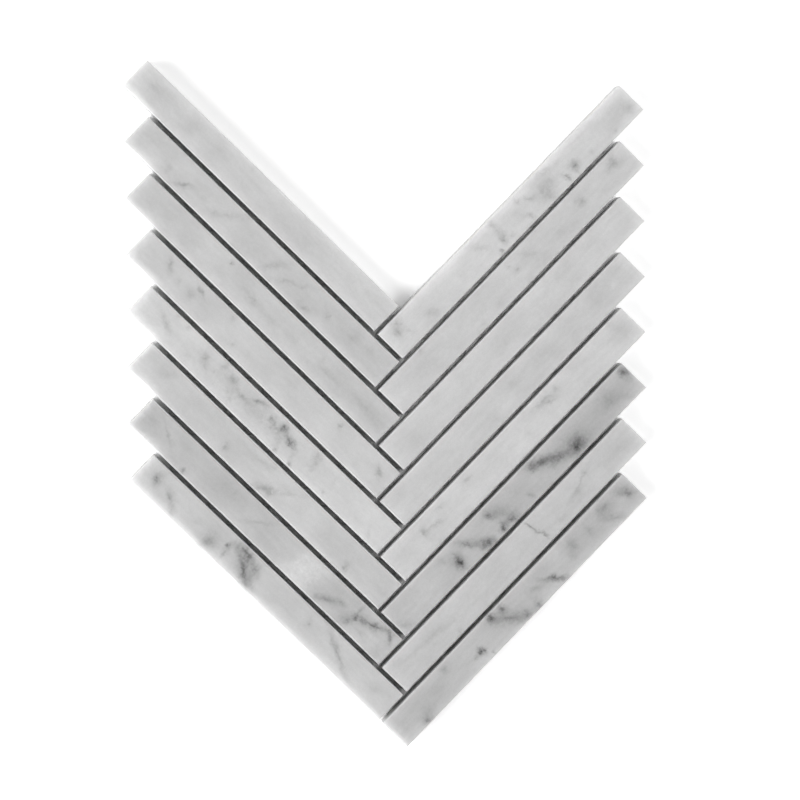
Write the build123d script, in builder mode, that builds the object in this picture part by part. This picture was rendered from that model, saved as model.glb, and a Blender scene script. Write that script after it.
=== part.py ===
"""Herringbone mosaic sheet: sawn marble strips laid in a V on a trimmed glass-fibre mesh.

The sheet lies face up on its mesh. +Y points up the V, +Z is the outward normal of the polished faces,
and the origin is at the middle of the sheet's outline, on the underside of the mesh. Millimetres.
"""

import os
from math import ceil, sqrt

from build123d import *

# Driving dimensions
strip_length = 150.0
strip_width = 15.0
strip_thickness = 10.0
joint_width = 2.0
arris = 0.5
strips_per_arm = 8

mesh_thickness = 0.5
mesh_pitch = 8.0
yarn_width = 1.0
mesh_margin = 4.0

# The arms of the V lean this far from level, on either side of the upright spine
lay_angle = 45.0

# One step down the spine moves each strip by its width and a joint, across its own length
step = strip_width + joint_width
run_down = (strips_per_arm - 1) * step

# Size of the outline, corner to corner
sheet_width = (2 * strip_length + step) / sqrt(2)
sheet_height = (strip_length + strip_width + step) / sqrt(2) + sqrt(2) * run_down

# The spine is the upright line from the foot of the notch to the lowest corner of the sheet
spine_x = sheet_width / 2 - strip_length / sqrt(2)
lowest_y = -sheet_height / 2
notch_y = lowest_y + sqrt(2) * (run_down + strip_width)

# Along the sides the strips' ends stand out as teeth, this deep
tooth_depth = step / sqrt(2)

# The setting-out plane: its X runs up the right arm, its Y up the left arm,
# and its origin is the inner corner of the uppermost strip of the right arm
setting_out = Plane(
    origin=(spine_x, lowest_y + sqrt(2) * run_down, 0),
    x_dir=Vector(1, 0, 0).rotate(Axis.Z, lay_angle),
    z_dir=(0, 0, 1),
)


def right_strip_centre(row):
    """Middle of a strip of the right arm, whose inner end butts the left strip below it."""
    along = strip_length / 2 - row * step
    across = strip_width / 2 - row * step
    return setting_out.from_local_coords((along, across, 0))


def left_strip_centre(row):
    """Middle of a strip of the left arm, whose inner end butts the side of the right strip in its row."""
    across = strip_width / 2 - row * step
    along = step + strip_length / 2 - row * step
    return setting_out.from_local_coords((across, along, 0))


rows = range(strips_per_arm)
right_centres = [right_strip_centre(row) for row in rows]
left_centres = [left_strip_centre(row) for row in rows]
right_turn = lay_angle
left_turn = lay_angle + 90


def marble_strip(centre, turn):
    """A sawn strip, back down on the mesh, with the edges of its polished face eased."""
    back = Plane(
        origin=centre + Vector(0, 0, mesh_thickness),
        x_dir=Vector(1, 0, 0).rotate(Axis.Z, turn),
        z_dir=(0, 0, 1),
    )
    with BuildPart() as strip:
        with BuildSketch(back):
            Rectangle(strip_length, strip_width)
        extrude(amount=strip_thickness)
        polished_face = strip.faces().sort_by(Axis.Z)[-1]
        chamfer(polished_face.edges(), length=arris)
    return strip.part


def mesh_half(side):
    """The mesh on one side of the spine, -1 left or +1 right.

    It is trimmed straight, a margin inside the outermost joints and inside the roots of the teeth, so that
    none of it stands in the way of the next sheet. The spine passes midway between two upright yarns, so
    the halves meet end to end on the level yarns.
    """
    trimmed_x = side * (sheet_width / 2 - tooth_depth - mesh_margin)
    reach = abs(trimmed_x - spine_x)
    upper_y = notch_y - mesh_margin * sqrt(2)
    lower_y = lowest_y + mesh_margin * sqrt(2)

    opening = mesh_pitch - yarn_width
    columns = ceil(reach / mesh_pitch) + 1
    courses = 2 * ceil(sheet_height / 2 / mesh_pitch) + 1
    grid_middle_x = spine_x + side * (columns - 1) * mesh_pitch / 2

    with BuildPart() as mesh:
        with BuildSketch() as cloth:
            with BuildLine():
                Polyline(
                    (spine_x, lower_y),
                    (trimmed_x, lower_y + reach),
                    (trimmed_x, upper_y + reach),
                    (spine_x, upper_y),
                    close=True,
                )
            make_face()
            with Locations((grid_middle_x, 0)):
                with GridLocations(mesh_pitch, mesh_pitch, columns, courses):
                    Rectangle(opening, opening, mode=Mode.SUBTRACT)
        # Scraps of yarn that the trimming cuts loose fall away
        held_together = cloth.faces().sort_by(SortBy.AREA)[-1]
        extrude(held_together, amount=mesh_thickness)
    return mesh.part


def save(part, name):
    """Label a finished piece and write it to its own file."""
    part.label = name
    export_step(part, f"parts/{name}.step")


os.makedirs("parts", exist_ok=True)

for row in rows:
    save(marble_strip(right_centres[row], right_turn), f"right_strip_{row + 1}")
    save(marble_strip(left_centres[row], left_turn), f"left_strip_{row + 1}")

save(mesh_half(-1), "mesh_left")
save(mesh_half(+1), "mesh_right")
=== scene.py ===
# %% [markdown]
# # A herringbone marble mosaic sheet
#
# Sixteen sawn strips of grey-white marble lie in a V on a glass-fibre mesh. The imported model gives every
# piece its place and size. This lesson models the stone and the mesh again in finer detail, with
# operators as one would by hand, and paints each strip with its own veins.
#
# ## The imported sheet
#
# The plain solids come in first. A scene could also be fitted to a picture by eye, but then sizes drift.
# Here all that follows is measured from the solids, so nothing has to be fitted afterwards.

# %% Load the sheet
import math
from collections import namedtuple

import bmesh
import bpy
from mathutils import Matrix, Vector


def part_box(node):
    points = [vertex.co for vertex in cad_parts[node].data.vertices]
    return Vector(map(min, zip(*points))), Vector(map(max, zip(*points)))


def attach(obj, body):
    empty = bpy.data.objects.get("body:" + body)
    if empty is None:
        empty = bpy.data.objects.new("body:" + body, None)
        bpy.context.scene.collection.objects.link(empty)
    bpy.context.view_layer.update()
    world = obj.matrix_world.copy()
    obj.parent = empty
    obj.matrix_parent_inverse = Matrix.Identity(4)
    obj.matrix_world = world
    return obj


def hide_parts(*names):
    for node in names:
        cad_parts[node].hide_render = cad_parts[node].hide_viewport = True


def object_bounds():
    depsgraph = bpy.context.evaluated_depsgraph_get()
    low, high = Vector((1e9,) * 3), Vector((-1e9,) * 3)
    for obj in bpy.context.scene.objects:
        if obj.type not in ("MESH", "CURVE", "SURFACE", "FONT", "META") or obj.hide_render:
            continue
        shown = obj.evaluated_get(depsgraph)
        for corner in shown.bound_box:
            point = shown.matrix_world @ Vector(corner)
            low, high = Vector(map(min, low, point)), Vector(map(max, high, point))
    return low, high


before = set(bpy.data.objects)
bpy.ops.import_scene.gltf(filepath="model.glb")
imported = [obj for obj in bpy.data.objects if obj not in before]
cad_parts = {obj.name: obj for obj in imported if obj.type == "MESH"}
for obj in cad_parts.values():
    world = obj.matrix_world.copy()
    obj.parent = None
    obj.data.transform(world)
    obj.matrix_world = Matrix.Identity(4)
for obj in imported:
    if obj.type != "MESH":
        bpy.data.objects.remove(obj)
cad_low, cad_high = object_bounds()
MM = 0.001
print("sheet", [round(size / MM, 1) for size in cad_high - cad_low], "mm")

# %% [markdown]
# ## Where each strip lies
#
# The strips lean 45 degrees, so their boxes say little. One could read the places from a drawing. Here
# the corners of each solid, measured along the strip and across it, give its length, width and middle, so
# that a changed solid moves its dressed strip too. "Along" runs from the strip's outer end to the spine,
# and "across" from its upper edge to its lower edge, as the sheet is seen from above.

# %% Measure the strips
Strip = namedtuple("Strip", "along across middle length width back face")
diagonal = math.sqrt(0.5)
directions = {
    "left": (Vector((diagonal, -diagonal, 0)), Vector((-diagonal, -diagonal, 0))),
    "right": (Vector((-diagonal, -diagonal, 0)), Vector((diagonal, -diagonal, 0))),
}


def measure(arm, number):
    """The place and size of one strip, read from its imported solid."""
    along, across = directions[arm]
    corners = [vertex.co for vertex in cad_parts[f"{arm}_strip_{number}"].data.vertices]
    reach = [corner.dot(along) for corner in corners]
    spread = [corner.dot(across) for corner in corners]
    heights = [corner.z for corner in corners]
    middle = along * (min(reach) + max(reach)) / 2 + across * (min(spread) + max(spread)) / 2
    length = max(reach) - min(reach)
    width = max(spread) - min(spread)
    return Strip(along, across, middle, length, width, min(heights), max(heights))


strips_per_arm = 8
numbers = range(1, strips_per_arm + 1)
strips = {(arm, number): measure(arm, number) for arm in directions for number in numbers}
sample = strips["left", 1]
print(len(strips), "strips,", round(sample.length / MM, 2), "by", round(sample.width / MM, 2), "mm")

# %% [markdown]
# ## The camera
#
# The sheet is seen from nearly straight above. A camera could be turned by hand until the view looks
# right. Here it is set by what a photographer would note: the lens, the distance, the point aimed at and
# how far the camera leans. A long lens keeps the strips parallel. The camera stands a little to the left
# and up the sheet, and is rolled by less than a degree, which turns the spine.

# %% Set the camera
camera_lens = 135
camera_distance = 1292 * MM
camera_aim = Vector((4.6 * MM, 2.0 * MM, sample.face))
lean_right = math.radians(-5.69)
lean_up = math.radians(2.78)
camera_roll = math.radians(-0.71)

backward = Vector((math.tan(lean_right), math.tan(lean_up), 1)).normalized()
rough_up = Vector((-math.sin(camera_roll), math.cos(camera_roll), 0))
rightward = rough_up.cross(backward).normalized()
upward = backward.cross(rightward)

bpy.ops.object.camera_add()
camera = bpy.context.object
camera.data.lens = camera_lens
camera.matrix_world = Matrix.Translation(camera_aim + backward * camera_distance) @ Matrix(
    (rightward, upward, backward)
).transposed().to_4x4()
bpy.context.scene.camera = camera
print("camera at", [round(place, 3) for place in camera.location], "m")

# %% [markdown]
# ## Arithmetic for shaders
#
# A material is a graph of nodes, which is mostly drawn by hand in the shader editor. Written as Python
# sums it is shorter and easier to read: this small class wraps one output socket, each operator adds the
# Math node for it, and one method adds any other node.


# %% Wrap a socket
class Value:
    """An output socket of a graph, ready for arithmetic, or the empty graph itself."""

    def __init__(self, tree, socket=None):
        self.tree = tree
        self.socket = socket

    def node(self, kind, inputs, output=0, **settings):
        """Add a node: its type, the values or links of its sockets, the output wanted and its settings."""
        made = self.tree.nodes.new(kind)
        for setting, choice in settings.items():
            setattr(made, setting, choice)
        for key, given in inputs.items():
            if isinstance(given, Value):
                self.tree.links.new(given.socket, made.inputs[key])
            else:
                made.inputs[key].default_value = given
        return Value(self.tree, made.outputs[output]) if made.outputs else None

    def math(self, operation, first, second):
        return self.node("ShaderNodeMath", {0: first, 1: second}, operation=operation)

    def __add__(self, other):
        return self.math("ADD", self, other)

    def __sub__(self, other):
        return self.math("SUBTRACT", self, other)

    def __rsub__(self, other):
        return self.math("SUBTRACT", other, self)

    def __mul__(self, other):
        return self.math("MULTIPLY", self, other)

    def __truediv__(self, other):
        return self.math("DIVIDE", self, other)

    def __rtruediv__(self, other):
        return self.math("DIVIDE", other, self)

    def __pow__(self, other):
        return self.math("POWER", self, other)

    def __rpow__(self, other):
        return self.math("POWER", other, self)

    __radd__ = __add__
    __rmul__ = __mul__


def empty_graph(owner):
    """The cleared node graph of a material or a world."""
    owner.use_nodes = True
    owner.node_tree.nodes.clear()
    return Value(owner.node_tree)


def grey_colour(shade):
    """The same value in red, green and blue."""
    return shade.node("ShaderNodeCombineColor", {0: shade, 1: shade, 2: shade})


print("shader arithmetic ready")

# %% [markdown]
# ## Veins of the left arm
#
# Marble veins are flaws that filled with darker minerals. Noise alone could draw veins, but never these
# ones, and no two strips share them. So each strip has a list of its own marks, in millimetres from its
# outer end and from its upper edge. A streak then has a length, a width and a lean in degrees, and a blot
# has a size. The last number is about how many grey levels, of 255, the mark darkens the stone, and a
# negative one lightens it. Each list starts with the strip's plain tone.

# %% Marks of the left arm
Mark = namedtuple("Mark", "u v length width lean depth")
PALE, PLAIN, DULL, DARK = 205, 200, 197, 188


def streak(u, v, length, width, lean, depth):
    """A long soft mark."""
    return Mark(u, v, length, width, lean, depth)


def blot(u, v, size, depth):
    """A round soft mark."""
    return Mark(u, v, size, size, 0, depth)


marble = {}
# Nearly clean, with a faint drift at its outer end
marble["left", 1] = PLAIN, [
    streak(12, 5, 22, 4, -14, 4), blot(10, 6, 3, 5), blot(33, 8, 6, 4), blot(64, 1.5, 3, 6),
    streak(103, 11, 10, 4, 0, 5), blot(136, 5, 4, 5), blot(48, 6, 4, 3),
]
# Short slanting hairs, one of them dark
marble["left", 2] = DULL, [
    streak(31, 10.3, 9, 1.7, -27, 28), blot(21, 10, 3, 9), streak(54, 6, 17, 2.6, -36, 13),
    blot(48.5, 9, 2.5, 9), streak(83, 7.5, 12, 2.2, -48, 15), blot(80, 11, 3, 9),
    streak(92, 9, 18, 1.8, -32, 12), blot(90, 10, 1.8, 10), blot(98, 5.5, 2, 7),
    streak(104, 12, 9, 2, -22, 15), blot(101, 11, 1.6, 8), streak(113, 7, 8, 2, 35, 9),
    blot(114.5, 7.5, 1.5, 12), streak(128, 6.5, 10, 5, -65, 10), blot(137.5, 5, 4, 7),
    streak(12, 4, 10, 2, -40, 4), streak(41, 8, 6, 2, -10, 6),
]
# A smear that runs along the strip, and one pinprick
marble["left", 3] = DULL, [
    blot(51.8, 2.8, 1.5, 36), streak(67, 7.6, 20, 2.6, 5, 11), blot(69.5, 8, 3.4, 11),
    streak(81, 8.2, 8, 1.6, 0, 7), blot(109, 4.5, 3, 9), streak(113, 8, 12, 2.6, 3, 12),
    streak(134, 7.6, 28, 5, 3, 12), blot(130, 7, 4, 3), streak(93, 8, 9, 2.4, 0, 6), blot(33, 8, 7, 3),
]
# A few small dark flecks
marble["left", 4] = PLAIN - 1, [
    streak(16.4, 4.7, 5, 2, 50, 28), streak(34, 3.9, 5.5, 1.8, 32, 28), blot(32, 3, 1.6, 14),
    blot(31, 7.8, 4.5, 14), blot(24, 7, 2.4, 7), blot(51.5, 2.4, 2.6, 14), blot(59.2, 10.6, 2, 16),
    blot(67, 8, 4, 5), blot(89, 6, 5, 5), blot(116.8, 3.4, 2.2, 29), streak(143, 6.2, 6, 2.2, 40, 28),
    streak(42, 12, 6, 2.4, -40, 4),
]
# A smoky cloud with two dark knots in it
marble["left", 5] = PALE + 2, [
    streak(70, 7, 56, 16, 0, 13), streak(15.5, 7, 9, 1.9, 24, 22), blot(23.3, 1.5, 2.2, 17),
    blot(17.5, 1, 3, 10), blot(37.6, 6, 4.4, 26), blot(40, 8.4, 3, 10), blot(46.5, 2, 4, 19),
    blot(44.8, 7, 1.4, 12), streak(52.8, 4.3, 5, 3, 8, 26), streak(60.5, 6.8, 11, 2.2, 14, 20),
    blot(55, 9.6, 4, 9), blot(57.5, 11.8, 2.6, 12), streak(68.5, 3, 9, 2, -32, 24),
    blot(66.6, 3.4, 2.8, 16), blot(76.4, 4.4, 2, 32), streak(78.6, 5.6, 4.4, 2, 26, 24),
    blot(79, 8, 3, 12), blot(83.2, 4.2, 3.6, 56), blot(82, 6, 2.4, 18),
    streak(88.4, 6.4, 5, 2.4, 4, 60), streak(91.8, 6.8, 4, 1.8, 14, 22), streak(85, 10, 8, 3, 78, 11),
    streak(94, 11, 8, 2, 58, 9), streak(102, 3, 7, 3, 70, 18), streak(103.6, 6.5, 8, 1.4, 86, 10),
    blot(87, 13.6, 1.8, 34), blot(95.3, 14, 1.8, 36), blot(114.5, 12.6, 1.8, 11),
    streak(115, 5, 5, 1.6, 80, 7), streak(141, 12, 6, 1.8, 48, 8), blot(31, 11, 5, 5),
]
# A grey feather at the middle
marble["left", 6] = DULL, [
    streak(14, 5, 9, 3, -32, 8), blot(53.8, 10, 2.8, 22), streak(70, 3.6, 19, 2.6, -20, 10),
    blot(75, 2, 4, 6), streak(78, 11.4, 13, 2.6, -32, 28), streak(80.8, 11.5, 4, 1.6, -70, 14),
    blot(81.8, 9.6, 0.8, -22), blot(84, 8, 0.8, -16), streak(88, 5.6, 14, 1.3, -36, 9),
    blot(126.7, 11.4, 2.8, 26), streak(142, 8, 22, 14, 0, 4), streak(111, 8, 12, 4, -50, 5),
    streak(100, 8, 12, 8, -50, -4),
]
# A dull strip with a pale band across it, then a branching vein
marble["left", 7] = DARK + 1, [
    blot(5, 6, 11, 9), streak(15.8, 6.6, 14, 1.6, 34, 15), streak(48, 5, 20, 10, 0, 6),
    blot(53, 5, 2, 8), blot(30.5, 13, 1.9, 36), streak(69.5, 6.6, 20, 1.5, -38, 11),
    streak(93.5, 7.5, 40, 7, -68, -11), streak(98.5, 7.5, 40, 7, -68, -11),
    streak(103.5, 7.5, 40, 7, -68, -11), streak(119, 7, 18, 14, -50, 6),
    streak(113.5, 10.2, 10, 2.2, -36, 28), streak(119.5, 6.6, 5, 2, -15, 18),
    blot(109.6, 12.6, 2.4, 16), streak(124.5, 11, 9, 3, -48, 12), streak(128, 4, 7, 1.6, 88, 18),
    blot(128.3, 7.4, 2.6, 36), streak(126.8, 11.4, 4.4, 2.4, 100, 32),
    streak(136, 4.4, 16, 2.2, -20, 44), blot(137, 4, 3, 18), blot(131, 6.2, 2, 14),
    streak(136, 4.8, 18, 5, -20, 8), streak(145, 3.4, 5, 1.6, 58, 44), blot(143, 1.6, 2, 18),
    streak(134, 11, 10, 1.6, 25, 8), blot(145, 11.5, 4, 9), streak(139, 9, 12, 7, 0, -8),
]
# A dark knot of two slanting lenses, and a long fine vein
marble["left", 8] = DULL, [
    blot(8, 6, 4.2, 42), streak(18, 8.6, 8, 2.4, 38, 30), streak(22, 12.6, 5, 2, 45, 12),
    blot(42.5, 10, 9, 24), blot(43, 11.5, 5, 8), blot(50, 5.8, 2.2, 54),
    streak(51, 9.4, 5, 1.8, 84, 22), streak(58, 5, 15, 8, 25, 12), streak(59.4, 3, 10, 3, 24, 44),
    blot(60, 3.6, 3, 14), blot(57, 1.4, 4, 26), blot(53, 3.4, 4, 16), streak(62, 9, 13, 3, 32, 62),
    streak(66, 5.4, 6, 3.4, 62, 26), streak(67.5, 10, 11, 3, 52, 16), blot(98.6, 6.4, 2.4, 24),
    blot(97, 4, 2.4, 7), streak(117, 7, 34, 2, 27, 18), streak(115, 5.8, 11, 1.8, 29, 12),
    blot(139, 7, 7, 6), streak(33, 8, 8, 3, -50, 6),
]
print("left arm:", sum(len(marble["left", number][1]) for number in numbers), "marks")

# %% [markdown]
# ## Veins of the right arm
#
# The right arm's strips come from other slabs of the same stone: three of them are nearly clean, and two
# are dull with strong dark veins. One shared pattern would be shorter to write, but the sheet would then
# look printed. The lists are read in the same way as the left arm's.

# %% Marks of the right arm
# Pale, with smoky spots
marble["right", 1] = PALE + 2, [
    streak(12, 8, 24, 13, 0, 5), blot(4, 9.8, 4, 12), blot(15.5, 12.6, 2.6, 15), blot(29, 12, 3, 9),
    streak(38.6, 10.4, 4.6, 3.6, 70, 46), streak(44.3, 11.6, 5, 1.5, -62, 34), blot(54, 9, 9, 18),
    blot(50.5, 7, 4, 10), blot(56.5, 8, 3, 10), blot(55, 12, 3, 10), streak(50, 3, 13, 2.2, -8, 9),
    streak(62, 6.2, 6, 1.8, -42, 20), blot(67.2, 3, 2.4, 15), streak(67.6, 11.4, 5, 1.9, -50, 22),
    blot(82, 2.8, 3.4, 19), streak(82, 6.6, 7, 3, 90, 9), blot(82.3, 10.2, 3.2, 34),
    blot(79, 12, 3, 15), blot(87, 13.8, 2, 38), streak(93, 5.4, 9, 2, -48, 12),
    blot(127.4, 9.8, 3.6, 11), streak(125, 11, 5, 2, -20, 8), blot(143.4, 6, 4.4, 32),
    blot(141, 2.4, 3.4, 22), streak(139.4, 8.5, 6, 2, -75, 9), blot(106.5, 7.5, 4, 7),
    streak(104, 12, 8, 2, -20, 5), blot(71, 7, 8, 4),
]
# Soft spots near its outer end
marble["right", 2] = PLAIN + 1, [
    streak(10, 5.2, 5, 2.6, -14, 30), blot(8, 3.2, 4, 16), blot(30.2, 6.4, 2.8, 22),
    blot(32, 4.6, 2, 7), streak(62.5, 6, 7, 2.4, -40, 13), blot(70.8, 6.8, 1.8, 18),
    blot(73, 3.4, 2.6, 12), blot(125, 1.4, 2.4, 13), streak(128, 7, 18, 10, 0, 5), blot(86, 12.5, 4, 7),
    blot(98, 12.6, 2.6, 9), streak(45, 9, 10, 3, -35, 4), streak(19, 10, 9, 2, -35, 4),
]
# Clean, with one soft cloud
marble["right", 3] = PALE - 2, [
    streak(79, 7.6, 20, 8, 5, 7), blot(85, 10, 5, 4), blot(44, 4, 5, 5), streak(136, 9, 16, 9, -20, 5),
    blot(62, 4, 6, -4), blot(67, 8, 6, -3), streak(20, 8, 12, 5, -30, 4),
]
# Clean
marble["right", 4] = PLAIN, [
    streak(22, 8, 14, 6, -25, 5), streak(54, 7, 18, 8, -25, 4), blot(74, 5, 5, 6), blot(89, 11, 5, 6),
    streak(110, 9, 16, 6, 0, 3), blot(6, 4, 4, 5), blot(12, 8, 6, -4), blot(142, 4, 6, 5),
    streak(36, 11, 12, 2, -30, 4),
]
# Clean, with two faint pairs of lines
marble["right", 5] = PALE - 1, [
    blot(7, 7, 10, 8), blot(8.5, 2, 4, 5), streak(52, 3.8, 17, 2, -8, 20),
    streak(51, 5.9, 8, 1.6, -14, 22), blot(45, 3.6, 2.4, 12), blot(54, 8, 8, 4),
    streak(100, 3.6, 5, 2, 8, 18), streak(117, 3, 5, 2, 5, 11), streak(123, 8, 9, 1.5, -14, 18),
    blot(129, 6.2, 3.4, 25), streak(136, 6, 18, 8, 0, 4), blot(67, 8.6, 3, 6),
    streak(132, 12, 8, 4, -20, -5),
]
# The darkest strip, with a long slanting vein and knots
marble["right", 6] = DARK, [
    streak(16, 8, 34, 14, 0, 5), blot(2, 3, 4.6, 60), blot(15, 7, 8, 13), streak(9, 11, 10, 3, -50, 8),
    streak(38, 10, 15, 9, -10, 28), streak(39.4, 11, 7, 4.4, 0, 52), streak(47.6, 8.8, 8, 4, -22, 26),
    streak(54.4, 5, 16, 4, -29, 54), blot(59.4, 2.6, 4, 26), blot(68.2, 11.6, 2.6, 22),
    streak(83, 7, 16, 5, -50, 20), streak(87.8, 4.2, 5, 2.4, -50, 38), blot(86.8, 12.4, 3.6, 64),
    streak(81.6, 12.8, 6, 3, -6, 50), streak(96, 12.2, 8, 3.4, -26, 58),
    streak(102.4, 6.4, 11, 2.8, -48, 34), streak(110.8, 9.4, 6, 3.2, 86, 100),
    streak(115, 5, 10, 3, -58, 9), streak(146.5, 11.5, 7, 2.4, -40, 15), streak(134, 8, 24, 12, 0, -4),
    streak(72, 5, 14, 6, -40, 5), streak(62, 8, 10, 4, -30, -4),
]
# One fine crack right across it
marble["right", 7] = PLAIN - 3, [
    streak(33, 6.2, 18, 1.8, 18, 13), blot(29, 4.8, 2, 14), blot(36, 8.4, 4, 8),
    streak(51, 10.8, 14, 3, 3, 10), streak(60.4, 7.6, 13, 0.9, 101, 26),
    streak(61.2, 4, 3.6, 1.3, 100, 26), streak(59.2, 11, 3, 1.3, 108, 26), blot(115, 14, 2.6, 17),
    streak(128, 6, 46, 2.2, -8, 8), streak(10, 8, 14, 5, 0, 6), blot(85, 10, 9, 4),
    streak(63, 4, 8, 3, -10, -4), streak(112, 8, 20, 5, -5, 3),
]
# Dull, with slanting veins and dark spots
marble["right", 8] = DARK, [
    streak(4.6, 6.2, 10, 3.6, -42, 32), blot(3.6, 7.6, 3, 14), streak(16, 4.4, 9, 5, -8, 25),
    blot(18, 3, 3, 9), streak(16, 10.6, 11, 3, -42, 20), blot(28, 7, 5, 16), blot(37.6, 6, 5, 20),
    blot(41, 9.4, 3, 13), streak(53, 10.6, 12, 2, -42, 50), streak(62.5, 7, 8, 2, -30, 14),
    blot(66, 14, 5, 30), streak(79, 8.4, 20, 4.4, -38, 34), blot(72.5, 12.8, 4.4, 22),
    blot(79, 2.6, 3.4, 48), blot(84.8, 2.4, 3.8, 62), blot(97.8, 9.6, 2.8, 96),
    streak(101.6, 9.6, 5, 2, 0, 24), blot(94, 14, 1.6, 30), blot(114.6, 2.6, 3.4, 18),
    blot(133, 11.5, 9, 12), streak(135.4, 13.2, 4, 2.6, -50, 38), streak(110, 9, 26, 10, 0, -4),
    streak(123, 7, 14, 5, -30, 5), streak(46, 4, 8, 4, -30, -4),
]
print("right arm:", sum(len(marble["right", number][1]) for number in numbers), "marks")

# %% [markdown]
# ## Places on a strip
#
# A mark is given in millimetres on its own strip, and a material knows only the sheet's coordinates. A UV
# map could carry the strip's own ones, but it covers only the surface. Dot products with the strip's
# directions also give the depth below its face, so a vein can go on down the sides, as in real stone.


# %% Find a place on a strip
def strip_distances(graph, strip):
    """Millimetres along the strip, across it and below its face, from its outer upper corner."""
    place = graph.node("ShaderNodeTexCoord", {}, "Object")
    corner = strip.middle - strip.along * strip.length / 2 - strip.across * strip.width / 2
    corner.z = strip.face

    def distance(direction):
        reach = graph.node(
            "ShaderNodeVectorMath", {0: place, 1: direction / MM}, "Value", operation="DOT_PRODUCT"
        )
        return reach - corner.dot(direction) / MM

    return distance(strip.along), distance(strip.across), distance(Vector((0, 0, -1)))


print("a strip is", round((sample.face - sample.back) / MM, 2), "mm deep below its face")

# %% [markdown]
# ## Noise and frayed outlines
#
# Nothing in marble is even, and no outline in it is clean. Clouds and ragged edges could be painted, but
# noise gives them at any scale. It serves twice here: as a tone, and as a shift of the coordinates, which
# frays the outlines of the marks.

# %% Make noise in the stone
noise_roughness = 0.55
noise_middle = 0.5


def stone_noise(bed, scale, detail, stretch=(1, 1, 1), turn=0, output="Fac"):
    """Noise with this many features to the millimetre, on coordinates that are turned and stretched."""
    turned = bed.node(
        "ShaderNodeMapping", {"Vector": bed, "Rotation": (0, 0, math.radians(turn)), "Scale": stretch}
    )
    return bed.node(
        "ShaderNodeTexNoise",
        {"Vector": turned, "Scale": scale, "Detail": detail, "Roughness": noise_roughness},
        output,
    )


def fray(place, bed, scale, detail, reach):
    """Coordinates shifted by noise, over a range of this many millimetres."""
    noise = stone_noise(bed, scale, detail, output="Color")
    centre = -reach * noise_middle
    shift = place.node(
        "ShaderNodeVectorMath",
        {0: noise, 1: (reach, reach, 0), 2: (centre, centre, 0)},
        operation="MULTIPLY_ADD",
    )
    return place.node("ShaderNodeVectorMath", {0: place, 1: shift}, operation="ADD")


print("noise ready")

# %% [markdown]
# ## Drawing the marks
#
# Each mark is an ellipse that is darkest at its middle. It could be a curve or a decal, but a formula
# stays sharp at any distance: the place is moved, turned and scaled until the ellipse is a circle, and
# the darkness falls with the distance from its middle.

# %% Draw the marks
share_of_length = 0.6
share_of_width = 0.75
soft_edge = 2.2
falloff = 3
# So deep that a mark goes right through the strip
straight_down = 100


def marks_darkness(place, marks):
    """How many grey levels all the marks of a strip take away."""
    darkness = 0
    for mark in marks:
        spot = place.node(
            "ShaderNodeMapping",
            {
                "Vector": place,
                "Location": (mark.u, mark.v, 0),
                "Rotation": (0, 0, math.radians(mark.lean)),
                "Scale": (mark.length * share_of_length, mark.width * share_of_width, straight_down),
            },
            vector_type="TEXTURE",
        )
        radius = place.node("ShaderNodeVectorMath", {0: spot}, "Value", operation="LENGTH")
        nearness = place.node(
            "ShaderNodeMapRange", {"Value": radius, "From Min": soft_edge, "From Max": 0.0}
        )
        darkness = darkness + nearness**falloff * mark.depth
    return darkness


print("a mark fades out", round(soft_edge * share_of_length, 2), "of its length from its middle")

# %% [markdown]
# ## Clouds, grain and crystals
#
# Between its veins marble is never plain: slow clouds, a grain along its bedding, small flecks and fine
# crystals lie over each other. One noise with much detail could stand for all of them. With four, each
# has its own size and strength.

# %% Cloud the stone
bedding = {"scale": 0.25, "detail": 3, "stretch": (0.35, 1.6, 1), "turn": 32}
cloud_levels, grain_levels, fleck_levels, crystal_levels = 24, 16, 12, 14


def stone_texture(bed, crystals):
    """How many grey levels the clouds, grain, flecks and crystals add to the plain tone."""
    clouds = stone_noise(bed, scale=0.055, detail=3) - noise_middle
    grain = stone_noise(bed, **bedding) - noise_middle
    flecks = stone_noise(bed, scale=0.6, detail=3) - noise_middle
    broad = clouds * cloud_levels + grain * grain_levels
    return broad + flecks * fleck_levels + crystals * crystal_levels


most_levels = noise_middle * (cloud_levels + grain_levels + fleck_levels + crystal_levels)
print("texture: at most", most_levels, "levels either way")

# %% [markdown]
# ## Sawn sides
#
# The face is honed smooth, and the sides are as the saw left them, with the lines of its blade. Two
# materials on one strip could tell them apart, but would meet in a hard line on the rim. Here the share
# of saw marks, and of the painted shade on the sides, grows as the surface turns away from straight up.

# %% Tell the sides from the face
honed_above, sawn_below = 0.6, 0.2
blade = {"scale": 1.0, "detail": 2, "stretch": (0.04, 0.04, 2.4)}


def sawn_share(graph):
    """One on the sawn sides and nought on the honed face."""
    facing = graph.node("ShaderNodeNewGeometry", {}, "Normal")
    upward_share = graph.node("ShaderNodeSeparateXYZ", {0: facing}, "Z")
    return graph.node(
        "ShaderNodeMapRange", {"Value": upward_share, "From Min": honed_above, "From Max": sawn_below}
    )


print("honed up to", round(math.degrees(math.acos(honed_above))), "degrees from level")
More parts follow.
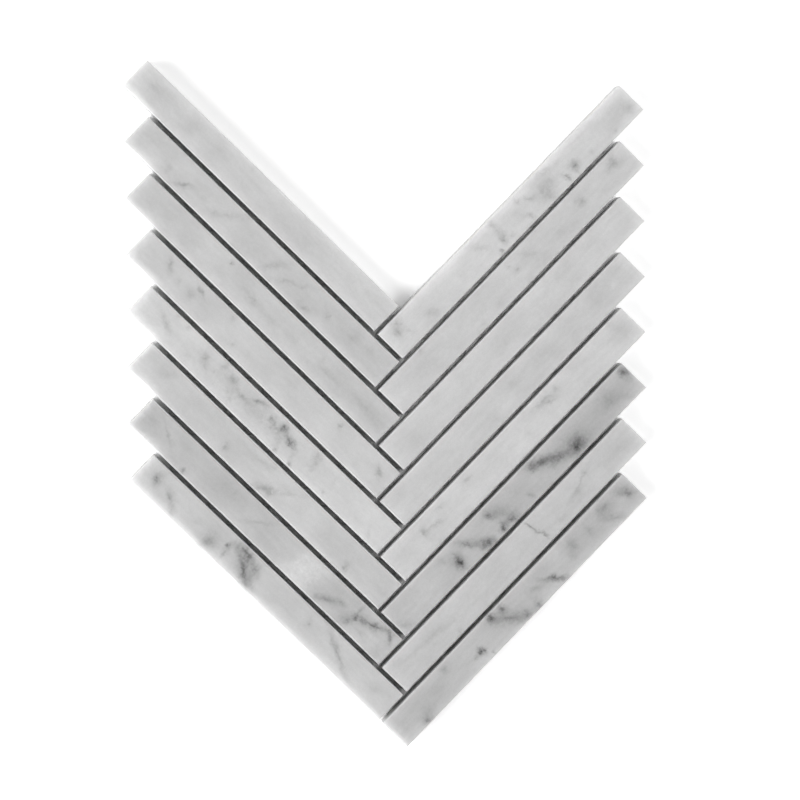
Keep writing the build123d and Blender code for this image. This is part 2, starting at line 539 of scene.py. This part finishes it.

# %% [markdown]
# ## The marble finish
#
# The face is nearly dull, and the sides are rougher. The sides and the steeper part of the eased rim are
# also painted a little darker, as painted shade for the walls seen in the joints. More gloss would show
# the lamps from a low side, in place of the veins. A grey could be picked straight in linear light, but
# here it is worked out in the levels that one reads in a picture, and turned to linear light at the end.
# Marble lets light in for several millimetres. A plain surface would look like painted plaster, so the
# shader scatters light below it, which makes the free edges glow.

# %% Paint the marble
strip_seed, arm_seed = 37, 500
broad_fray = {"scale": 0.22, "detail": 2, "reach": 4.0}
fine_fray = {"scale": 0.9, "detail": 3, "reach": 2.2}
even_share, mottled_share = 0.27, 2.1
dip_along, dip_across = 0.6, -0.35
# Grey levels of painted shade on the sides, which darkens the walls seen in the joints
side_shade_levels = 5
honed_roughness, mottled_roughness, sawn_roughness = 0.60, 0.12, 0.06
crystal_relief = 0.04
relief_strength = 0.5
relief_depth = 0.12 * MM
scatter_depth = 10.0 * MM
stone_index = 1.5
stone_gloss = 0.15
white_level = 255
display_gamma = 2.2


def marble_finish(arm, number):
    """The material of one strip, from its tone and its marks."""
    tone, marks = marble[arm, number]
    material = bpy.data.materials.new(f"marble_{arm}_{number}")
    graph = empty_graph(material)
    along, across, below = strip_distances(graph, strips[arm, number])

    seed = number * strip_seed + (arm_seed if arm == "right" else 0)
    bed = graph.node("ShaderNodeCombineXYZ", {0: along + seed, 1: across + seed / 2, 2: below})
    dipped = graph.node(
        "ShaderNodeCombineXYZ", {0: along + below * dip_along, 1: across + below * dip_across, 2: below}
    )
    frayed = fray(fray(dipped, bed, **broad_fray), bed, **fine_fray)

    mottle = stone_noise(bed, scale=0.7, detail=4)
    crystals = stone_noise(bed, scale=1.6, detail=2) - noise_middle
    sawn = sawn_share(graph)
    veins = marks_darkness(frayed, marks) * (even_share + mottled_share * mottle)
    # The sides and the steeper rim are painted darker here: painted shade for the joints between strips
    level = tone + stone_texture(bed, crystals) - veins - sawn * side_shade_levels
    relief = sawn * stone_noise(bed, **blade) + crystals * crystal_relief
    bump = graph.node(
        "ShaderNodeBump", {"Height": relief, "Strength": relief_strength, "Distance": relief_depth}
    )
    stone = graph.node(
        "ShaderNodeBsdfPrincipled",
        {
            "Base Color": grey_colour((level / white_level) ** display_gamma),
            "Roughness": honed_roughness + mottled_roughness * mottle + sawn * sawn_roughness,
            "IOR": stone_index,
            "Specular IOR Level": stone_gloss,
            "Normal": bump,
            "Subsurface Weight": 1.0,
            "Subsurface Radius": (1.0, 1.0, 1.0),
            "Subsurface Scale": scatter_depth,
        },
    )
    graph.node("ShaderNodeOutputMaterial", {"Surface": stone})
    return material


finishes = {place: marble_finish(*place) for place in strips}
print("finishes:", len(finishes))

# %% [markdown]
# ## One block off the saw
#
# A strip is a block that a saw cut from a slab. It starts as a cube at the strip's size. A bare cube has
# nothing between its corners to chip, so its long, short and upright edges are subdivided in turn. A
# remesh would also give a fine grid, but would round the corners off.


# %% Cut the block
def pick(*pieces):
    """Select these pieces alone, and make the first of them active."""
    bpy.ops.object.select_all(action="DESELECT")
    for piece in pieces:
        piece.select_set(True)
    bpy.context.view_layer.objects.active = pieces[0]


def edit(piece):
    """Open one piece, alone, in edit mode with nothing selected."""
    pick(piece)
    bpy.ops.object.mode_set(mode="EDIT")
    bpy.ops.mesh.select_mode(type="EDGE")
    bpy.ops.mesh.select_all(action="DESELECT")


def select_edges(piece, wanted):
    """Select the edges whose two ends satisfy a test."""
    work = bmesh.from_edit_mesh(piece.data)
    for edge in work.edges:
        edge.select_set(wanted(edge.verts[0].co, edge.verts[1].co))
    bmesh.update_edit_mesh(piece.data)


face_grid = 1.25 * MM
side_grid = 2.5 * MM
hair = 0.01 * MM
block_size = (sample.length, sample.width, sample.face - sample.back)
grids = (face_grid, face_grid, side_grid)

bpy.ops.mesh.primitive_cube_add(size=1, location=(0, 0, (sample.back + sample.face) / 2), scale=block_size)
blank = bpy.context.object
blank.name = "blank"
bpy.ops.object.transform_apply(location=True, rotation=True, scale=True)

edit(blank)
for axis in range(3):
    select_edges(blank, lambda one, two: abs(one[axis] - two[axis]) > hair)
    bpy.ops.mesh.subdivide(number_cuts=round(block_size[axis] / grids[axis]) - 1)
    bpy.ops.mesh.select_all(action="DESELECT")
bpy.ops.object.mode_set(mode="OBJECT")
print("block:", len(blank.data.polygons), "faces")

# %% [markdown]
# ## The eased rim
#
# The edges round the honed face are eased with a stone, so that they don't cut one's fingers. A Bevel
# modifier would ease the back's edges too, so only the rim is selected and beveled. The new points of the
# rim go into a vertex group, which the chips need later.

# %% Ease the rim
ease = 0.5 * MM


def on_rim(point):
    """True on the outline of the strip's face."""
    at_end = abs(abs(point.x) - sample.length / 2) < hair
    at_side = abs(abs(point.y) - sample.width / 2) < hair
    return point.z > sample.face - hair and (at_end or at_side)


edit(blank)
select_edges(blank, lambda one, two: on_rim(one) and on_rim(two) and on_rim((one + two) / 2))
bpy.ops.mesh.bevel(offset=ease, segments=3, profile=0.5, affect="EDGES")
bpy.ops.object.vertex_group_assign_new()
bpy.ops.object.mode_set(mode="OBJECT")
rim = blank.vertex_groups.active
rim.name = "rim"
rim_points = [point for point in blank.data.vertices if rim.index in [held.group for held in point.groups]]
print("rim:", len(rim_points), "points")

# %% [markdown]
# ## Chipped edges
#
# Marble edges lose tiny chips when they are sawn. Chips could be sculpted one by one. Here a Displace
# modifier pushes the rim inwards where a cloud texture passes a threshold, which is quicker and never
# repeats: the texture is fixed in space, so each strip gets chips of its own. The blank is copied for
# every strip, turned to its place, chipped and given its marble.

# %% Lay the strips
chip_depth = 0.3 * MM
smooth_stone_below = math.radians(35)
chips = bpy.data.textures.new("chips", "CLOUDS")
chips.noise_scale = 1.8 * MM
chips.noise_depth = 1
chips.use_clamp = True
chips.contrast = 2.6
chips.intensity = 0.0


def lay_strip(arm, number):
    """Copy the blank to a strip's place, chip its rim and give it its marble."""
    strip = strips[arm, number]
    pick(blank)
    bpy.ops.object.duplicate()
    piece = bpy.context.object
    piece.name = f"{arm}_marble_{number}"
    piece.data.name = piece.name
    piece.rotation_euler.z = math.atan2(strip.along.y, strip.along.x)
    piece.location = strip.middle
    bpy.ops.object.transform_apply(location=True, rotation=True, scale=True)
    nick = piece.modifiers.new("chips", "DISPLACE")
    nick.texture = chips
    nick.vertex_group = rim.name
    nick.strength = -chip_depth
    nick.mid_level = 0.0
    bpy.ops.object.modifier_apply(modifier=nick.name)
    bpy.ops.object.shade_smooth_by_angle(angle=smooth_stone_below)
    piece.data.materials.append(finishes[arm, number])
    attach(piece, "root")
    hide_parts(f"{arm}_strip_{number}")
    return piece


laid = [lay_strip(*place) for place in strips]
bpy.data.objects.remove(blank)
print("laid", len(laid), "strips")

# %% [markdown]
# ## The mesh on the back
#
# The strips are glued to a glass-fibre mesh in a leno weave: flat level yarns, held by upright pairs of
# thinner strands that twist round each other once between one level yarn and the next. A picture of a
# mesh on a flat sheet would do from above, but not from the side, so each yarn is modelled. The packed
# mesh gives the thickness, the spine and the trimmed sides. The cloth starts larger than the sheet.

# %% Measure the mesh
mesh_pitch = 8.0 * MM
yarn_width = 1.0 * MM
mesh_low, left_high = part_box("mesh_left")
mesh_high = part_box("mesh_right")[1]
spine = left_high.x
mesh_middle = (mesh_low.z + mesh_high.z) / 2
mesh_thickness = mesh_high.z - mesh_low.z

strand_share = 0.17
strand_radius = mesh_thickness * strand_share
twist_height = mesh_thickness / 2 - strand_radius
twist_width = 0.36 * MM
yarn_height = 2 * (twist_height - strand_radius)

columns = 2 * math.ceil((cad_high.x - cad_low.x) / 2 / mesh_pitch) + 2
courses = 2 * math.ceil((cad_high.y - cad_low.y) / 2 / mesh_pitch) + 2
cloth_left = spine - columns / 2 * mesh_pitch
cloth_foot = -courses / 2 * mesh_pitch
print("mesh", columns, "by", courses, "yarns,", round(mesh_thickness / MM, 2), "mm thick")

# %% [markdown]
# ## Level yarns
#
# A level yarn is a flat bundle of glass. A curve with a bevel could make one, but a circle that is
# flattened and extruded is as quick and is a mesh from the start. An Array modifier repeats it up the
# sheet.


# %% Lay the level yarns
def repeat(piece, count, step):
    """Copy a piece at a fixed step with an Array modifier, and apply it."""
    bpy.context.view_layer.objects.active = piece
    array = piece.modifiers.new("repeat", "ARRAY")
    array.count = count
    array.use_relative_offset = False
    array.use_constant_offset = True
    array.constant_offset_displace = step
    bpy.ops.object.modifier_apply(modifier=array.name)


yarn_sides = 8
quarter_turn = math.radians(90)
yarn_start = Vector((cloth_left, cloth_foot + mesh_pitch / 2, mesh_middle))
bpy.ops.mesh.primitive_circle_add(
    vertices=yarn_sides,
    radius=yarn_width / 2,
    location=yarn_start,
    rotation=(quarter_turn, 0, quarter_turn),
)
yarns = bpy.context.object
bpy.ops.object.transform_apply(location=True, rotation=True, scale=True)
edit(yarns)
bpy.ops.mesh.select_all(action="SELECT")
bpy.ops.transform.resize(value=(1, 1, yarn_height / yarn_width), center_override=yarn_start)
bpy.ops.mesh.extrude_region_move(TRANSFORM_OT_translate={"value": (columns * mesh_pitch, 0, 0)})
bpy.ops.object.mode_set(mode="OBJECT")
repeat(yarns, courses, (0, mesh_pitch, 0))
print("level yarns:", len(yarns.data.polygons), "faces")

# %% [markdown]
# ## Twisted strands
#
# Each upright pair twists once in every opening, one strand over the level yarns and one under them. A
# helix could be worked out point by point. The Screw modifier turns a small circle into one with a few
# settings, and a resize then flattens the pair.

# %% Twist the upright strands
strand_sides = 5
twist_steps = 8


def upright_strands(side):
    """One strand of every pair, which starts over the level yarns (+1) or under them (-1)."""
    bpy.ops.mesh.primitive_circle_add(
        vertices=strand_sides,
        radius=strand_radius,
        location=(0, 0, side * twist_height),
        rotation=(quarter_turn, 0, 0),
    )
    strand = bpy.context.object
    bpy.ops.object.transform_apply(location=True, rotation=True, scale=True)
    twist = strand.modifiers.new("twist", "SCREW")
    twist.axis = "Y"
    twist.angle = math.radians(360)
    twist.screw_offset = mesh_pitch
    twist.iterations = courses
    twist.steps = twist_steps
    twist.render_steps = twist_steps
    bpy.ops.object.modifier_apply(modifier=twist.name)
    edit(strand)
    bpy.ops.mesh.select_all(action="SELECT")
    bpy.ops.transform.resize(value=(twist_width / twist_height, 1, 1), center_override=(0, 0, 0))
    bpy.ops.transform.translate(value=yarn_start + Vector((mesh_pitch / 2, 0, 0)))
    bpy.ops.object.mode_set(mode="OBJECT")
    repeat(strand, columns, (mesh_pitch, 0, 0))
    return strand


def join(pieces, name):
    """Join pieces into the first of them."""
    pick(*pieces)
    bpy.ops.object.join()
    pieces[0].name = name
    return pieces[0]


cloth = join([yarns, upright_strands(+1), upright_strands(-1)], "cloth")
print("cloth:", len(cloth.data.polygons), "faces before trimming")

# %% [markdown]
# ## Trimming the cloth
#
# The maker trims the mesh straight, inside the strips' ends, so that it doesn't stand in the way of the
# next sheet. A Boolean with a cutter could do it, but it is slow on thousands of thin strands. Bisect
# cuts with one plane at a time and closes the cut ends. The V isn't convex, so each arm is cut from its
# own copy of the cloth, and the two are joined on the spine.

# %% Trim the cloth to the sheet
margin = 4.0 * MM
smooth_yarn_below = math.radians(60)
# The foot of the notch is on the spine, straight above the lowest corner of the uppermost right strip
notch_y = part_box("right_strip_1")[0].y + sample.width / diagonal
lower_edge = Vector((spine, cad_low.y + margin / diagonal, 0))
upper_edge = Vector((spine, notch_y - margin / diagonal, 0))


def trimmed_half(side):
    """A copy of the cloth, cut to one arm of the V. Everything on a plane's outer side goes."""
    pick(cloth)
    bpy.ops.object.duplicate()
    half = bpy.context.object
    outer_edge = Vector((mesh_low.x if side < 0 else mesh_high.x, 0, 0))
    planes = [
        (upper_edge, Vector((-side * diagonal, diagonal, 0)), True),
        (lower_edge, Vector((side * diagonal, -diagonal, 0)), True),
        (outer_edge, Vector((side, 0, 0)), True),
        (Vector((spine, 0, 0)), Vector((-side, 0, 0)), False),
    ]
    for point, normal, filled in planes:
        edit(half)
        bpy.ops.mesh.select_all(action="SELECT")
        bpy.ops.mesh.bisect(plane_co=point, plane_no=normal, clear_outer=True, use_fill=filled)
        bpy.ops.object.mode_set(mode="OBJECT")
    return half


glass_mesh = join([trimmed_half(-1), trimmed_half(+1)], "glass_mesh")
bpy.data.objects.remove(cloth)
edit(glass_mesh)
bpy.ops.mesh.select_all(action="SELECT")
bpy.ops.mesh.remove_doubles(threshold=hair / 2)
bpy.ops.mesh.normals_make_consistent(inside=False)
bpy.ops.object.mode_set(mode="OBJECT")
bpy.ops.object.shade_smooth_by_angle(angle=smooth_yarn_below)
print("glass mesh:", len(glass_mesh.data.polygons), "faces")

# %% [markdown]
# ## The glass yarn
#
# Glass fibre is white and slightly glossy, and resin stiffens it. Single filaments are far too thin to
# model, so a fine noise gives their lines in colour and bump, and a slow one stains the resin.

# %% Finish the mesh
fibre_scale = 6000.0
stain_scale = 60.0
glass_shade, fibre_shade, stain_shade = 0.76, 0.12, 0.06
resin_roughness, stained_roughness = 0.45, 0.2
fibre_strength = 0.3
fibre_relief = 0.05 * MM


def glass_finish():
    """Resin-coated white glass fibre."""
    material = bpy.data.materials.new("glass_fibre")
    graph = empty_graph(material)
    place = graph.node("ShaderNodeTexCoord", {}, "Object")
    fibres = graph.node("ShaderNodeTexNoise", {"Vector": place, "Scale": fibre_scale, "Detail": 2.0})
    stains = graph.node("ShaderNodeTexNoise", {"Vector": place, "Scale": stain_scale, "Detail": 3.0})
    bump = graph.node(
        "ShaderNodeBump", {"Height": fibres, "Strength": fibre_strength, "Distance": fibre_relief}
    )
    glass = graph.node(
        "ShaderNodeBsdfPrincipled",
        {
            "Base Color": grey_colour(glass_shade + fibre_shade * fibres + stain_shade * stains),
            "Roughness": resin_roughness + stained_roughness * stains,
            "Normal": bump,
        },
    )
    graph.node("ShaderNodeOutputMaterial", {"Surface": glass})
    return material


glass_mesh.data.materials.append(glass_finish())
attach(glass_mesh, "root")
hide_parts("mesh_left", "mesh_right")
print("mesh finish:", glass_mesh.data.materials[0].name)

# %% [markdown]
# ## The floor
#
# The sheet lies on a white table. A floor that is simply made brighter would throw more light on the
# stone's edges, so the table is a pale grey for the light that bounces, and white where it is looked at,
# straight or in a gloss. It keeps the sheet's shadow. Further off it fades into a white backdrop, which
# hides the horizon.

# %% Lay the floor
floor_size = 12.0
fade_start, fade_end = 0.25, 0.7
bounced_grey = (0.85, 0.85, 0.85, 1)
seen_grey = (1.5, 1.5, 1.5, 1)
white = (1, 1, 1, 1)


def looked_at(graph):
    """One for a ray that shows the background: from the camera, off a gloss or through glass."""
    kinds = ("Is Camera Ray", "Is Glossy Ray", "Is Transmission Ray")
    straight, glossy, through = [graph.node("ShaderNodeLightPath", {}, kind) for kind in kinds]
    return graph.math("MAXIMUM", straight, graph.math("MAXIMUM", glossy, through))


bpy.ops.mesh.primitive_plane_add(size=floor_size, location=(0, 0, 0))
floor = bpy.context.object
floor.name = "floor"

white_table = bpy.data.materials.new("white_table")
ground = empty_graph(white_table)
spot = ground.node("ShaderNodeTexCoord", {}, "Object")
away = ground.node("ShaderNodeVectorMath", {0: spot}, "Value", operation="LENGTH")
faded = ground.node(
    "ShaderNodeMapRange",
    {"Value": away, "From Min": fade_start, "From Max": fade_end},
    interpolation_type="SMOOTHSTEP",
)
lit_table = ground.node("ShaderNodeBsdfDiffuse", {"Color": bounced_grey})
seen_table = ground.node("ShaderNodeBsdfDiffuse", {"Color": seen_grey})
backdrop = ground.node("ShaderNodeEmission", {"Color": white, "Strength": 1.0})
seen_ground = ground.node("ShaderNodeMixShader", {0: faded, 1: seen_table, 2: backdrop})
surface = ground.node("ShaderNodeMixShader", {0: looked_at(ground), 1: lit_table, 2: seen_ground})
ground.node("ShaderNodeOutputMaterial", {"Surface": surface})
floor.data.materials.append(white_table)
print("floor", floor_size, "m wide")

# %% [markdown]
# ## Studio light
#
# A sheet lit evenly from all round would have pale joints. Here the sky is dark overhead and bright near
# the horizon, which leaves the narrow joints dark. A broad lamp stands low at the left, so that the free
# edges on that side glow, and a weaker one hangs at the right. Both are at a plain level, at which the
# stone's greys come out about as they are written.

# %% Light the sheet
horizon_light = 0.74
overhead_light = 0.05
world = bpy.data.worlds.new("studio")
bpy.context.scene.world = world
sky = empty_graph(world)
direction = sky.node("ShaderNodeTexCoord", {}, "Generated")
steepness = sky.node("ShaderNodeSeparateXYZ", {0: direction}, "Z")
ambient = horizon_light - (horizon_light - overhead_light) * steepness
brightness = ambient + (1 - ambient) * looked_at(sky)
glow = sky.node("ShaderNodeBackground", {"Color": white, "Strength": brightness})
sky.node("ShaderNodeOutputWorld", {"Surface": glow})


def softbox(name, place, size, power):
    """A square lamp that faces the sheet."""
    bpy.ops.object.light_add(type="AREA", location=place)
    lamp = bpy.context.object
    lamp.name = name
    lamp.data.size = size
    lamp.data.energy = power
    lamp.rotation_euler = (-Vector(place)).to_track_quat("-Z", "Y").to_euler()
    return lamp


lamps = [
    softbox("key", place=(-1.115, -0.30, 0.65), size=1.2, power=22.2),
    softbox("fill", place=(0.78, 0.19, 0.9), size=1.0, power=7.2),
]
bpy.context.scene.view_settings.view_transform = "Standard"
print("lamps:", [(lamp.name, lamp.data.energy) for lamp in lamps])
